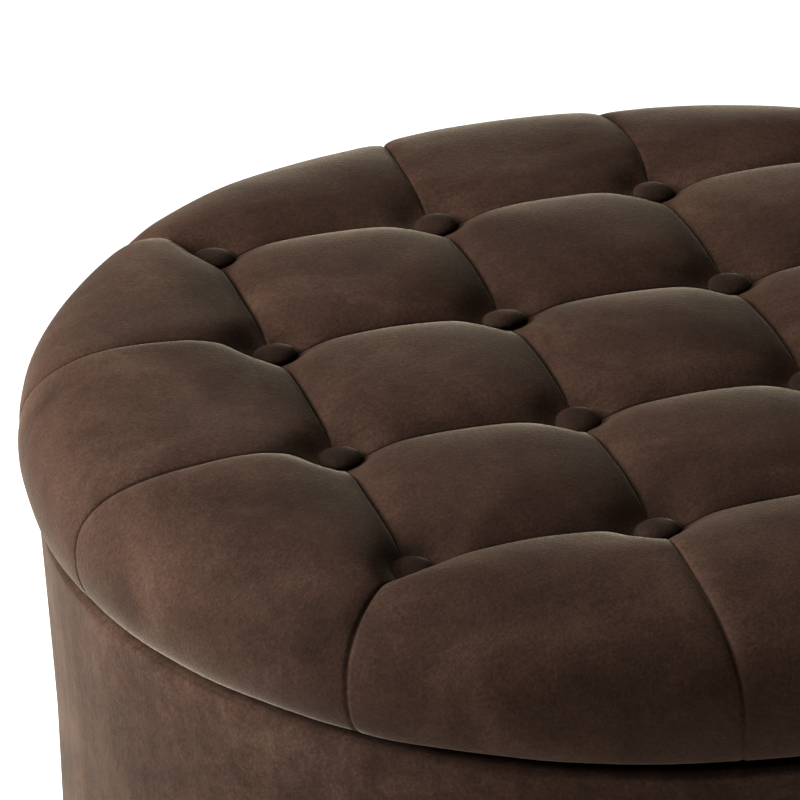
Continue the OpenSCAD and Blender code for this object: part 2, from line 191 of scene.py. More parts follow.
VELVET_DARK = (0.0135, 0.0062, 0.0036)
VELVET_MID = (0.0260, 0.0125, 0.0076)
VELVET_LIGHT = (0.0440, 0.0240, 0.0155)
VELVET_SHEEN = (0.84, 0.73, 0.54)
SHEEN_WEIGHT = 0.27
SHEEN_ROUGHNESS = 0.24
VELVET_SPECULAR = 0.06
STREAK_SCALE = 11.0
CRUSH_SCALE = 95.0
PILE_SCALE = 560.0
NAP_SCALE = 48.0
PILE_DEPTH = 0.30 * MM
NAP_DEPTH = 0.22 * MM
# How much the pile's tips and roots lighten and darken the cloth
PILE_TONES = [(0.30, (0.62, 0.62, 0.62)), (0.50, (0.97, 0.97, 0.97)), (0.72, (1.42, 1.42, 1.40))]


def velvet(name, streak, patch_scale=14.0, streak_share=0.25, mottle=0.14, tone=1.0):
    """Short-pile velvet: brushed patches, streaks, crushed mottling, grain and a pale sheen, all darkened by tone; a
    tone below 1 makes a darker copy whose colour is painted shade.
    """
    s = Shader(name, roughness=0.9)
    s.bsdf.inputs["Sheen Weight"].default_value = SHEEN_WEIGHT * tone
    s.bsdf.inputs["Sheen Roughness"].default_value = SHEEN_ROUGHNESS
    s.bsdf.inputs["Sheen Tint"].default_value = (*VELVET_SHEEN, 1)
    s.bsdf.inputs["Specular IOR Level"].default_value = VELVET_SPECULAR
    dark, mid, light = (tuple(tone * c for c in shade) for shade in (VELVET_DARK, VELVET_MID, VELVET_LIGHT))
    patches = s.noise(patch_scale, detail=4, rough=0.6, distortion=0.6)
    streaks = s.noise(STREAK_SCALE, detail=5, rough=0.65, distortion=0.3, stretch=streak)
    base = s.ramp(patches, [(0.30, dark), (0.52, mid), (0.75, light)])
    brushed = s.ramp(streaks, [(0.32, dark), (0.70, light)])
    cloth = s.mix(base, brushed, streak_share)
    crushed = s.noise(CRUSH_SCALE, detail=6, rough=0.75, distortion=0.8)
    crush_tones = s.ramp(crushed, [(0.34, (1 - mottle,) * 3), (0.66, (1 + mottle,) * 3)])
    cloth = s.mix(cloth, crush_tones, 1.0, blend="MULTIPLY")
    grain = s.noise(PILE_SCALE, detail=3, rough=0.8)
    s.colour(s.mix(cloth, s.ramp(grain, PILE_TONES), 1.0, blend="MULTIPLY"))
    s.bump(grain, PILE_DEPTH)
    s.bump(s.noise(NAP_SCALE, detail=4, rough=0.6), NAP_DEPTH)
    return s.material


def woven(name, dark, light, thread=900.0, roughness=0.85, depth=0.15 * MM, bands=("X", "Y")):
    """Plain weave with a soft mottling: two crossed sets of bands, or one crossed with noise on upright cloth."""
    s = Shader(name, roughness)
    waves = []
    for axis in bands:
        wave = s.add("ShaderNodeTexWave", bands_direction=axis, Scale=thread / 6, Distortion=1.2, Detail=1.0)
        s.link(s.place, wave.inputs["Vector"])
        waves.append(wave.outputs["Fac"])
    other = waves[1] if len(waves) > 1 else s.noise(thread, detail=2)
    threads = s.mix(waves[0], other, 0.5)
    tone = s.mix(threads, s.noise(18.0, detail=4), 0.45)
    s.colour(s.ramp(tone, [(0.30, dark), (0.70, light)]))
    s.bump(threads, depth)
    return s.material


def felted(name, dark, light, scale=500.0, roughness=0.95):
    """Fibres with no weave: wadding, dust cloth and twine."""
    s = Shader(name, roughness)
    fibres = s.noise(scale, detail=6, rough=0.75, distortion=1.5)
    s.colour(s.ramp(s.mix(fibres, s.noise(22.0), 0.3), [(0.34, dark), (0.66, light)]))
    s.bump(fibres, 0.3 * MM)
    return s.material


def wood(name, dark, light, stretch, roughness, coat=0.0, plies=False):
    """Grain lines drawn out along the timber, with optional ply edges."""
    s = Shader(name, roughness)
    grain = s.noise(55.0, detail=7, rough=0.62, distortion=1.1, stretch=stretch)
    tone = s.ramp(grain, [(0.30, dark), (0.68, light)])
    if plies:
        layers = s.add("ShaderNodeTexWave", bands_direction="Z", Scale=105.0, Distortion=0.3)
        s.link(s.place, layers.inputs["Vector"])
        tone = s.mix(tone, s.ramp(layers.outputs["Fac"], [(0.2, dark), (0.8, light)]), 0.35)
    s.colour(tone)
    s.rough(grain, roughness - 0.08, roughness + 0.10)
    s.bsdf.inputs["Coat Weight"].default_value = coat
    s.bump(grain, 0.12 * MM)
    return s.material


def metal(name, colour, roughness):
    """Plated steel with fine brushing and faint wear."""
    s = Shader(name, roughness, metallic=1.0)
    wear = s.noise(140.0, detail=6, rough=0.7)
    darker = tuple(0.72 * c for c in colour)
    s.colour(s.ramp(wear, [(0.35, darker), (0.65, colour)]))
    brushed = s.noise(900.0, detail=2, stretch=(1, 0.05, 1))
    s.rough(s.mix(wear, brushed, 0.5), roughness - 0.10, roughness + 0.16)
    s.bump(brushed, 0.02 * MM)
    return s.material


def moulded(name, dark, light, roughness):
    """Moulded plastic or rubber with a fine spark-eroded grain."""
    s = Shader(name, roughness)
    grain = s.noise(1600.0, detail=2)
    s.colour(s.ramp(s.mix(grain, s.noise(40.0), 0.4), [(0.35, dark), (0.65, light)]))
    s.rough(grain, roughness - 0.06, roughness + 0.08)
    s.bump(grain, 0.05 * MM)
    return s.material


def foam(name):
    """Open-cell foam: small pits in a pale yellow."""
    s = Shader(name, 0.95)
    cells = s.add("ShaderNodeTexVoronoi", Scale=450.0)
    s.link(s.place, cells.inputs["Vector"])
    pits = cells.outputs["Distance"]
    s.colour(s.ramp(pits, [(0.1, (0.52, 0.46, 0.25)), (0.6, (0.78, 0.73, 0.50))]))
    s.bump(pits, 0.6 * MM)
    return s.material


LID_VELVET = velvet("lid_velvet", streak=(1.0, 0.8, 1.0), streak_share=0.20)
# The buttons take the lid's velvet with colour and sheen darkened to 0.55: painted shade for the shadow on and round
# the sunken buttons.
PAINTED_SHADE_BUTTON_VELVET = velvet("button_velvet_painted_shade", streak=(1.0, 1.0, 1.0), patch_scale=45.0, tone=0.55)
SIDE_VELVET = velvet("side_velvet", streak=(4.0, 4.0, 0.6), patch_scale=17.0, mottle=0.30)
PLYWOOD = wood("birch_plywood", (0.42, 0.27, 0.13), (0.62, 0.44, 0.25), (0.12, 1.0, 1.0), 0.62, plies=True)
FOOT_WOOD = wood("stained_beech", (0.018, 0.009, 0.005), (0.060, 0.030, 0.016), (1.0, 1.0, 0.10), 0.36, coat=0.35)
ZINC = metal("zinc_plated_steel", (0.56, 0.57, 0.60), 0.42)
NICKEL = metal("nickel_plated_steel", (0.50, 0.50, 0.51), 0.30)
FOAM = foam("upholstery_foam")
WADDING = felted("polyester_wadding", (0.62, 0.62, 0.60), (0.86, 0.86, 0.84), scale=300.0)
LINING_SHADES = (0.012, 0.011, 0.010), (0.040, 0.036, 0.032)
LINING = woven("lining_cloth", *LINING_SHADES)
WALL_LINING = woven("wall_lining_cloth", *LINING_SHADES, bands=("Z",))
DUST_CLOTH = felted("dust_cloth", (0.006, 0.006, 0.006), (0.030, 0.030, 0.031), scale=700.0)
GLIDE = moulded("glide_plastic", (0.012, 0.012, 0.012), (0.030, 0.030, 0.030), 0.5)
RUBBER = moulded("bumper_rubber", (0.008, 0.008, 0.008), (0.022, 0.022, 0.022), 0.75)
TWINE = felted("waxed_twine", (0.45, 0.42, 0.32), (0.72, 0.69, 0.58), scale=900.0)


# ---------------------------------------------------------------- mesh helpers
def smoothstep(x):
    """0 to 1 with a soft start and end."""
    x = np.clip(x, 0.0, 1.0)
    return x * x * (3 - 2 * x)


def add_object(name, mesh, material, smooth=True):
    mesh.materials.append(material)
    obj = bpy.data.objects.new(name, mesh)
    bpy.context.scene.collection.objects.link(obj)
    if smooth:
        mesh.polygons.foreach_set("use_smooth", [True] * len(mesh.polygons))
    return obj


def mesh_from(name, points, faces, merge=None):
    """A mesh with its doubled points merged and its normals facing outwards."""
    mesh = bpy.data.meshes.new(name)
    mesh.from_pydata([tuple(p) for p in points], [], faces)
    bm = bmesh.new()
    bm.from_mesh(mesh)
    if merge:
        bmesh.ops.remove_doubles(bm, verts=bm.verts, dist=merge)
    bmesh.ops.recalc_face_normals(bm, faces=bm.faces)
    bm.to_mesh(mesh)
    bm.free()
    return mesh


def grid_faces(rows, columns, start, wrap=False):
    """Quads of a grid stored row by row; wrap joins the last column to the first."""
    faces = []
    for r in range(rows - 1):
        for c in range(columns if wrap else columns - 1):
            a = start + r * columns + c
            b = start + r * columns + (c + 1) % columns
            faces.append((a, b, b + columns, a + columns))
    return faces


def lathe(name, profile, material, segments=192, shape=None, closed=True, centre=(0, 0)):
    """A profile of (radius, height) turned about Z. shape(radius, angle, height) gives a new radius and height."""
    points = []
    for r, z in profile:
        for k in range(segments):
            a = 2 * math.pi * k / segments
            rr, zz = shape(r, a, z) if shape else (r, z)
            points.append((centre[0] + rr * math.cos(a), centre[1] + rr * math.sin(a), zz))
    faces = grid_faces(len(profile), segments, 0, wrap=True)
    if closed:
        last = (len(profile) - 1) * segments
        faces += [(last + k, last + (k + 1) % segments, (k + 1) % segments, k) for k in range(segments)]
    else:
        faces.append(tuple(range(segments)))
        faces.append(tuple(range((len(profile) - 1) * segments, len(profile) * segments)))
    return add_object(name, mesh_from(name, points, faces), material)


def arc(r, z, radius, start, end, steps):
    """Points of a round corner between two angles, in degrees from outwards to up."""
    angles = np.radians(np.linspace(start, end, steps + 1))
    return [(r + radius * math.cos(a), z + radius * math.sin(a)) for a in angles]


def joined(name, parts, material):
    """Several objects as one."""
    bm = bmesh.new()
    for part in parts:
        bm.from_mesh(part.data)
        bpy.data.objects.remove(part)
    mesh = bpy.data.meshes.new(name)
    bm.to_mesh(mesh)
    bm.free()
    return add_object(name, mesh, material)


def finish_piece(obj, body, slot, *replaced):
    """Rides the piece on its body and hides the CAD nodes that it stands for; its slot is not used."""
    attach(obj, body)
    if replaced:
        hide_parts(*replaced)
    return obj


# ---------------------------------------------------------------- tufted lid cover
# Steps away from a fold, as shares of the pitch, close together where the cloth turns under
FOLD_STEPS = (0, 0.006, 0.013, 0.025, 0.042, 0.067, 0.10, 0.15, 0.217, 0.30, 0.40, 0.5)
PANEL_ROWS = 28
SEAM_RISE = 6.0 * MM
DOME = 11.0 * MM
DOME_POWER = 2.6
STEEP_SIDE = 0.54
GENTLE_SIDE = 0.70
BACK_SIDE = 0.64
FOLD_DEPTH = {"h": 4.6 * MM, "v": 3.4 * MM}
SEAM_BOW = 1.6 * MM
SIDE_BULGE = 4.0 * MM
TOP_BULGE = 10.5 * MM
BACK_DROP = 4.8 * MM
BACK_START = 0.80
BACK_FADE = 0.15
SIDE_STRETCH = 1.2 * MM
FOOT_BULGE = 1.2 * MM
PANEL_TOP = TUFT_PLANE + 2.5 * MM
FULL_Z = LID_Z + 26 * MM
ROLL_POWER = 2.5
SHOULDER = 82 * MM
UNDER_ROLL = 12 * MM
RETURN = LID_R - UNDER_ROLL - under_hi.x - 0.4 * MM
ARC_POINTS = 40
CREASE_TOP = 3.6 * MM
CREASE_SIDE = 0.5 * MM
CREASE_FOOT = 0.3 * MM
FOLD_LINE = 1.0 * MM
RIM_TURN = 1.8 * MM
CROWN_R = LID_R - SHOULDER
TOP_START = 0.10
TOP_POINTS = 10
DIMPLE_SHARE = 0.15
DIMPLE_R = 0.080 * PITCH
DIMPLE_SLOPE = 0.120 * PITCH
WADDING_INSET = 2.5 * MM
PAD_INSET = 5.0 * MM
# Ends of the pleats round the lid, in degrees from +X
PLEATS_FRONT = (-135, -101.5, -79, -45)
PLEATS_RIGHT = (-45, -11, 11, 45)
PLEATS_BACK = (45, 78.5, 99.5, 135)
PLEATS_LEFT = (135, 166, 191, 225)

cell_steps = np.array(list(FOLD_STEPS) + [1 - s for s in reversed(FOLD_STEPS[:-1])])
seam_rise = {}
seam_bow = {}
for kind in "hv":
    for i in range(ROWS):
        for j in range(ROWS):
            seam_rise[kind, i, j] = SEAM_RISE * rng.uniform(0.85, 1.15)
            seam_bow[kind, i, j] = SEAM_BOW * rng.uniform(-0.6, 1.0)
dome_height = DOME * rng.uniform(0.92, 1.08, (ROWS, ROWS))


def button_at(i, j):
    """Plan position of the button in column i and row j."""
    return np.array([(i - 1.5) * PITCH, (j - 1.5) * PITCH])


def rise(u):
    """Height of a fold between two buttons, as a share of its height in the middle."""
    return np.sin(np.pi * np.clip(u, 0, 1)) ** 0.75


def crest(u, low=STEEP_SIDE, high=GENTLE_SIDE):
    """A pillow's cross-section: it turns under more steeply at 0 than at 1."""
    return (1 - np.abs(2 * u - 1) ** DOME_POWER) ** np.where(u < 0.5, low, high)


def recovery(distance):
    """How far the pillows have recovered at a distance from a button, from DIMPLE_SHARE up to 1."""
    return DIMPLE_SHARE + (1 - DIMPLE_SHARE) * smoothstep((distance - DIMPLE_R) / DIMPLE_SLOPE)


def to_button(u):
    """Distance along a pillow's side to the nearer of its two buttons."""
    return np.minimum(u, 1 - u) * PITCH


def seam_points(kind, i, j, u):
    """Plan position and height of a fold that starts at button i, j."""
    along = np.array([1.0, 0.0]) if kind == "h" else np.array([0.0, 1.0])
    across = along[::-1]
    bow = seam_bow[kind, i, j] * np.sin(np.pi * u)
    plan = button_at(i, j) + np.outer(u * PITCH, along) + np.outer(bow, across)
    depth = FOLD_DEPTH[kind] * np.clip(4 * u * (1 - u), 0, 1)
    return plan, seam_rise[kind, i, j] * rise(u), depth


def cell_patch(i, j):
    """One inner pillow between four buttons, as a grid of points."""
    u, v = np.meshgrid(cell_steps, cell_steps)
    low, low_rise, low_fold = seam_points("h", i, j, cell_steps)
    high, high_rise, high_fold = seam_points("h", i, j + 1, cell_steps)
    left, left_rise, left_fold = seam_points("v", i, j, cell_steps)
    right, right_rise, right_fold = seam_points("v", i + 1, j, cell_steps)
    corner = button_at(i, j)
    x = corner[0] + u * PITCH
    y = corner[1] + v * PITCH
    y = y + (1 - v) * (low[:, 1] - corner[1])[None, :] + v * (high[:, 1] - corner[1] - PITCH)[None, :]
    x = x + (1 - u) * (left[:, 0] - corner[0])[:, None] + u * (right[:, 0] - corner[0] - PITCH)[:, None]
    base = (1 - v) * low_rise[None, :] + v * high_rise[None, :]
    base = base + (1 - u) * left_rise[:, None] + u * right_rise[:, None]
    middle = (seam_rise["h", i, j] + seam_rise["v", i, j]) / 2
    base = base - middle * rise(u) * rise(v)
    dome = dome_height[i, j] * crest(u) * crest(v, GENTLE_SIDE, BACK_SIDE)
    z = base + dome
    z[0, :] -= low_fold
    z[-1, :] -= high_fold
    z[:, 0] -= left_fold
    z[:, -1] -= right_fold
    z = SEAT_Z + z * recovery(np.hypot(to_button(u), to_button(v)))
    return np.dstack([x, y, z])


def rolled_section():
    """The lid's bare section: flat top, shoulder, under-roll, and in to the staple line underneath."""
    full_r = LID_R + SIDE_STRETCH - SIDE_BULGE
    t = np.linspace(math.pi / 2, 0, ARC_POINTS)
    over = [(CROWN_R + (full_r - CROWN_R) * math.cos(a) ** (2 / ROLL_POWER) if a < math.pi / 2 else CROWN_R,
             FULL_Z + (PANEL_TOP - FULL_Z) * math.sin(a) ** (2 / ROLL_POWER)) for a in t]
    t = np.linspace(0, math.pi / 2, ARC_POINTS)
    under = [(full_r - UNDER_ROLL + UNDER_ROLL * max(math.cos(a), 0) ** (2 / ROLL_POWER),
              FULL_Z - (FULL_Z - LID_Z) * math.sin(a) ** (2 / ROLL_POWER)) for a in t]
    top = [(TOP_START + k * (CROWN_R - TOP_START) / TOP_POINTS, PANEL_TOP) for k in range(TOP_POINTS)]
    back = [(full_r - UNDER_ROLL - RETURN, LID_Z)]
    return np.array(top + over + under[1:] + back)


section = rolled_section()
section_length = np.concatenate([[0], np.cumsum(np.hypot(*np.diff(section, axis=0).T))])


def section_at(length):
    """Radius and height at a distance along the lid's section."""
    r = np.interp(length, section_length, section[:, 0])
    z = np.interp(length, section_length, section[:, 1])
    return r, z


def section_normal(length):
    """Outward direction at a distance along the lid's section, as radius and height."""
    step = 2 * MM
    r0, z0 = section_at(np.maximum(length - step, 0))
    r1, z1 = section_at(np.minimum(length + step, section_length[-1]))
    size = np.hypot(r1 - r0, z1 - z0)
    return -(z1 - z0) / size, (r1 - r0) / size


def panel_patch(kind, i, j, flip, angles, side_index):
    """One outer panel: from a fold between two edge buttons, over the roll and under the lid."""
    u = cell_steps
    plan, height, fold = seam_points(kind, i, j, u)
    if flip:
        plan, height, fold = plan[::-1], height[::-1], fold[::-1]
    start_r = np.hypot(plan[:, 0], plan[:, 1])
    start_a = np.unwrap(np.arctan2(plan[:, 1], plan[:, 0]))
    end_a = angles[0] + (angles[1] - angles[0]) * u
    end_a = end_a + 2 * math.pi * np.round((start_a - end_a) / (2 * math.pi))
    start_length = np.interp(start_r, section[:len(section) // 2, 0], section_length[:len(section) // 2])
    total = section_length[-1] - start_length
    near = np.array(FOLD_STEPS[:9]) * PITCH
    rows = [np.full_like(u, d) for d in near]
    rows += [near[-1] + (total - near[-1]) * k / PANEL_ROWS for k in range(1, PANEL_ROWS + 1)]
    full_r = section[:, 0].max()
    widest = section_length[ARC_POINTS + TOP_POINTS - 1]
    steep = GENTLE_SIDE if side_index in (1, 2) else STEEP_SIDE
    swell = rng.uniform(0.94, 1.06)
    out = []
    for d in rows:
        length = start_length + d
        r, z = section_at(length)
        normal_r, normal_z = section_normal(length)
        bend = smoothstep(d / (0.35 * PITCH))
        z = (SEAT_Z + height) * (1 - bend) + z * bend
        below_top = smoothstep(np.clip((PANEL_TOP - z) / (PANEL_TOP - FULL_Z), 0, 1))
        below_full = smoothstep(np.clip((FULL_Z - z) / (FULL_Z - LID_Z), 0, 1)) * (length > widest)
        underneath = smoothstep(np.clip((length - section_length[-2]) / RETURN, 0, 1) * 4)
        top_bulge = TOP_BULGE - BACK_DROP * smoothstep((np.sin(start_a) - BACK_START) / BACK_FADE)
        bulge = top_bulge + (SIDE_BULGE - top_bulge) * below_top + (FOOT_BULGE - SIDE_BULGE) * below_full
        crease = CREASE_TOP + (CREASE_SIDE - CREASE_TOP) * below_top + (CREASE_FOOT - CREASE_SIDE) * below_full
        crease = crease * smoothstep(d / (0.3 * PITCH)) * (1 - underneath)
        power = 5 + 9 * smoothstep(d / (1.1 * PITCH))
        full = (1 - np.abs(2 * u - 1) ** power) ** 0.6
        inward = np.minimum(d / PITCH, 0.5)
        turn = 0.6 + (steep - 0.6) * full
        lift = bulge * (1 - underneath) * crest(inward, turn, turn) * (1 + (swell - 1) * full)
        lift = lift - crease * (1 - full)
        edge = (u == 0) | (u == 1)
        lift = lift - np.where(edge, FOLD_LINE * smoothstep(d / (0.25 * PITCH)) * (1 - underneath), 0)
        if d[0] == 0:
            lift = lift - fold
        share = np.where(length > widest, 1, np.clip((r - start_r) / (full_r - start_r), 0, 1))
        a = start_a + (end_a - start_a) * share
        recover = recovery(np.hypot(to_button(u), d))
        z_base = SEAT_Z + (z - SEAT_Z) * recover
        lift = lift * recover
        rr = r + lift * normal_r
        out.append(np.column_stack([rr * np.cos(a), rr * np.sin(a), z_base + lift * normal_z]))
    return np.array(out)


def panels():
    """The twelve outer panels round the lid: kind and start of the inner fold, direction, pleats and side."""
    last = ROWS - 1
    sides = [
        ("h", [(k, 0) for k in range(last)], False, PLEATS_FRONT),
        ("v", [(last, k) for k in range(last)], False, PLEATS_RIGHT),
        ("h", [(k, last) for k in range(last)][::-1], True, PLEATS_BACK),
        ("v", [(0, k) for k in range(last)][::-1], True, PLEATS_LEFT),
    ]
    for index, (kind, starts, flip, pleats) in enumerate(sides):
        for k, (i, j) in enumerate(starts):
            yield kind, i, j, flip, (math.radians(pleats[k]), math.radians(pleats[k + 1])), index


def lid_surface():
    """All pillows and panels as one mesh, open over the board, with its edge turned up there."""
    points = []
    faces = []
    patches = [cell_patch(i, j) for i in range(ROWS - 1) for j in range(ROWS - 1)]
    patches += [panel_patch(*p) for p in panels()]
    for patch in patches:
        faces += grid_faces(patch.shape[0], patch.shape[1], len(points))
        points += [tuple(p) for p in patch.reshape(-1, 3)]
    mesh = mesh_from("lid_cover_tufted", points, faces, merge=0.05 * MM)
    bm = bmesh.new()
    bm.from_mesh(mesh)
    rim = [e for e in bm.edges if e.is_boundary]
    lowest = max(v.co.z for e in rim for v in e.verts)
    if lowest > LID_Z + 1 * MM:
        raise ValueError("the lid cover is open along a fold")
    turned = bmesh.ops.extrude_edge_only(bm, edges=rim)["geom"]
    for v in turned:
        if isinstance(v, bmesh.types.BMVert):
            v.co.z += RIM_TURN
    bmesh.ops.recalc_face_normals(bm, faces=bm.faces)
    bm.to_mesh(mesh)
    bm.free()
    return mesh


def close_up(mesh):
    """Fills the opening over the board, under which the lining lies."""
    bm = bmesh.new()
    bm.from_mesh(mesh)
    bmesh.ops.holes_fill(bm, edges=[e for e in bm.edges if e.is_boundary], sides=0)
    bmesh.ops.recalc_face_normals(bm, faces=bm.faces)
    bm.to_mesh(mesh)
    bm.free()


def points_of(mesh):
    """The mesh's points as an array."""
    points = np.empty(len(mesh.vertices) * 3)
    mesh.vertices.foreach_get("co", points)
    return points.reshape(-1, 3)


def move_points(mesh, points):
    mesh.vertices.foreach_set("co", points.ravel())
    mesh.update()


def crumple(mesh, amount, size, seed):
    """Moves points along their normals by soft noise."""
    points = points_of(mesh)
    normals = np.empty_like(points).ravel()
    mesh.vertices.foreach_get("normal", normals)
    offset = Vector((seed, 0, 0))
    shift = np.array([noise.noise(Vector(p) / size + offset) for p in points])
    move_points(mesh, points + normals.reshape(-1, 3) * (amount * shift)[:, None])


def subdivide(obj, levels=1):
    """Smooths the mesh with subdivision and applies it."""
    modifier = obj.modifiers.new("subdivision", "SUBSURF")
    modifier.levels = levels
    modifier.render_levels = levels
    graph = bpy.context.evaluated_depsgraph_get()
    mesh = bpy.data.meshes.new_from_object(obj.evaluated_get(graph))
    obj.modifiers.clear()
    obj.data = mesh
    mesh.polygons.foreach_set("use_smooth", [True] * len(mesh.polygons))


def inner_layer(source, name, inset, material, floor_z=None):
    """A layer under the cover: the cover's own shape drawn in along the lid's section."""
    mesh = source.copy()
    mesh.name = name
    points = points_of(mesh)
    r = np.hypot(points[:, 0], points[:, 1])
    z = points[:, 2]
    out = np.clip((r - CROWN_R) / (LID_R - UNDER_ROLL - CROWN_R), 0, 1)
    up = np.clip((z - FULL_Z) / np.where(z > FULL_Z, PANEL_TOP - FULL_Z, FULL_Z - LID_Z), -1, 1)
    drawn = points * (1 - inset * out / r)[:, None]
    drawn[:, 2] = z - inset * up
    if floor_z is not None:
        below = drawn[:, 2] < floor_z
        drawn[below, :2] *= np.minimum(1, (pads_hi.x - 12 * MM) / r[below])[:, None]
        drawn[below, 2] = floor_z
    move_points(mesh, drawn)
    close_up(mesh)
    return add_object(name, mesh, material)


cover_mesh = lid_surface()
wadding = inner_layer(cover_mesh, "wadding_layer", WADDING_INSET, WADDING)
pads = inner_layer(cover_mesh, "foam_pads", PAD_INSET, FOAM, floor_z=pads_lo.z)
crumple(cover_mesh, 0.9 * MM, 45 * MM, 3.0)
crumple(cover_mesh, 0.35 * MM, 14 * MM, 9.0)
lid_cover = add_object("lid_cover_tufted", cover_mesh, LID_VELVET)
subdivide(lid_cover)
close_up(lid_cover.data)
finish_piece(lid_cover, "lid", "velvet", "lid_cover")
finish_piece(wadding, "lid", "wadding", "lid_wadding")
finish_piece(pads, "lid", "foam", "tuft_pads")


# ---------------------------------------------------------------- covered buttons
# Degrees by which some buttons lean, by column and row: positive turns the button's top towards the front
BUTTON_LEAN = {(1, 2): -9, (0, 2): -3, (1, 1): 7, (0, 0): 5, (0, 1): -2, (1, 3): 2}
LEAN_X = 7
LEAN_Y = 6
GATHERS = 14
GATHER_DEPTH = 0.012 * BUTTON_D


def button_profile():
    """Radius and height of a covered button from its tucked edge to its crown."""
    r = BUTTON_D / 2
    skirt = 0.30 * BUTTON_H
    points = [(0.70 * r, 0.0), (0.92 * r, 0.02 * BUTTON_H), (0.985 * r, 0.4 * skirt), (r, skirt)]
    for a in np.radians(np.linspace(10, 88, 12)):
        points.append((r * math.cos(a) ** 0.9, skirt + (BUTTON_H - skirt) * math.sin(a)))
    return points


def button_row(j, name, node):
    """Four covered buttons, each a little tilted and gathered under its edge."""
    pieces = []
    for i in range(ROWS):
        x, y = button_at(i, j)
        phase = rng.uniform(0, 6)

        def gathered(r, a, z, phase=phase):
            tuck = GATHER_DEPTH * math.sin(GATHERS * a + phase) * max(0.0, 1 - z / (0.45 * BUTTON_H))
            return r + tuck, z

        piece = lathe(f"{name}_{i}", button_profile(), PAINTED_SHADE_BUTTON_VELVET, segments=56, shape=gathered, closed=False)
        lean_x = math.radians(BUTTON_LEAN.get((i, j), rng.uniform(-LEAN_X, LEAN_X)))
        lean_y = math.radians(rng.uniform(-LEAN_Y, LEAN_Y))
        tilt = Matrix.Rotation(lean_x, 4, "X") @ Matrix.Rotation(lean_y, 4, "Y")
        piece.data.transform(Matrix.Translation((x, y, SEAT_Z)) @ tilt)
        pieces.append(piece)
    finish_piece(joined(name, pieces, PAINTED_SHADE_BUTTON_VELVET), "lid", "velvet", node)


for j, place in enumerate(("front", "mid_front", "mid_back", "back")):
    button_row(j, f"covered_buttons_{place}", f"tuft_buttons_{place}")


# ---------------------------------------------------------------- drum
COVER_T = 2.0 * MM
EDGE_R = 3.0 * MM
LIP_DROP = 2.4 * MM
FLARE = 3.4 * MM
FLARE_DEPTH = 0.11
# The cover stays outside the foam, even in its seam
DEEPEST_DIP = -1.5 * MM
BACK_SEAM = math.pi / 2
SEAM_WIDTH = 1.6 * MM
SEAM_DEPTH = 0.9 * MM
WAVE = 0.9 * MM
PULL = 0.35 * MM
COVER_SLACK = 0.5 * MM
WRAP_SLACK = 0.9 * MM
WRAP_T = 1.3 * MM
LINING_T = 1.5 * MM
# The flare stops where the sine of the angle from +X passes this, short of the hinges
FLARE_END = 0.90
FLARE_FADE = 0.06
wrap_lining_r = lining_hi.x - LINING_T


def outer_share(r, depth):
    """1 at the drum's outside, down to 0 at a depth inside it, so that only the outside moves."""
    return min(max((r - (DRUM_R - depth)) / depth, 0), 1)


def flare(a, z):
    """How far the padding stands out under the rim; it stays flat at the back, under the hinges."""
    share = min(max((z - (RIM_Z - FLARE_DEPTH)) / FLARE_DEPTH, 0), 1)
    at_back = smoothstep((math.sin(a) - FLARE_END) / FLARE_FADE)
    return FLARE * share * (1 - at_back)


def seam_groove(a):
    """Depth share of the closing seam down the back of the drum."""
    distance = abs((a - BACK_SEAM + math.pi) % (2 * math.pi) - math.pi) * DRUM_R
    return math.exp(-((distance / SEAM_WIDTH) ** 2))


def drum_shape(r, a, z):
    """Cloth stretched over foam: shallow waves, faint vertical pulls and a seam at the back."""
    p = Vector((math.cos(a) * 3.2, math.sin(a) * 3.2, z * 5))
    wave = WAVE * noise.noise(p)
    pull = PULL * noise.noise(Vector((math.cos(a) * 22, math.sin(a) * 22, z * 3)))
    move = wave + pull - COVER_SLACK - SEAM_DEPTH * seam_groove(a)
    return r + outer_share(r, 6 * MM) * (flare(a, z) + max(move, DEEPEST_DIP)), z


def side_profile():
    """Outside of the drum from under the rim lip down and under the floor, then back up inside the cloth."""
    top = RIM_Z - 0.5 * MM
    low = side_lo.z
    outer = [(DRUM_R - 3 * MM, top)] + arc(DRUM_R - EDGE_R, top - EDGE_R, EDGE_R, 60, 0, 5)
    outer += [(DRUM_R, z) for z in np.linspace(top - 2 * EDGE_R, low + 2 * EDGE_R, 44)]
    outer += arc(DRUM_R - EDGE_R, low + EDGE_R, EDGE_R, 0, -90, 6)
    outer += [(dust_hi.x, low), (dust_hi.x, low + COVER_T)]
    inner = [(DRUM_R - EDGE_R, low + COVER_T), (DRUM_R - COVER_T - 1.2 * MM, low + EDGE_R)]
    inner += [(DRUM_R - COVER_T - 1.2 * MM, top - EDGE_R), (DRUM_R - 5 * MM, top - 1 * MM)]
    return outer + inner


side = lathe("side_cover_velvet", side_profile(), SIDE_VELVET, segments=360, shape=drum_shape)
finish_piece(side, "base", "velvet", "side_cover")


def wrap_shape(r, a, z):
    """A faint ripple, with the outside following the drum's flare."""
    ripple = 0.25 * MM * noise.noise(Vector((math.cos(a) * 30, math.sin(a) * 30, z * 60)))
    return r + ripple + outer_share(r, 8 * MM) * (flare(a, z) - WRAP_SLACK), z


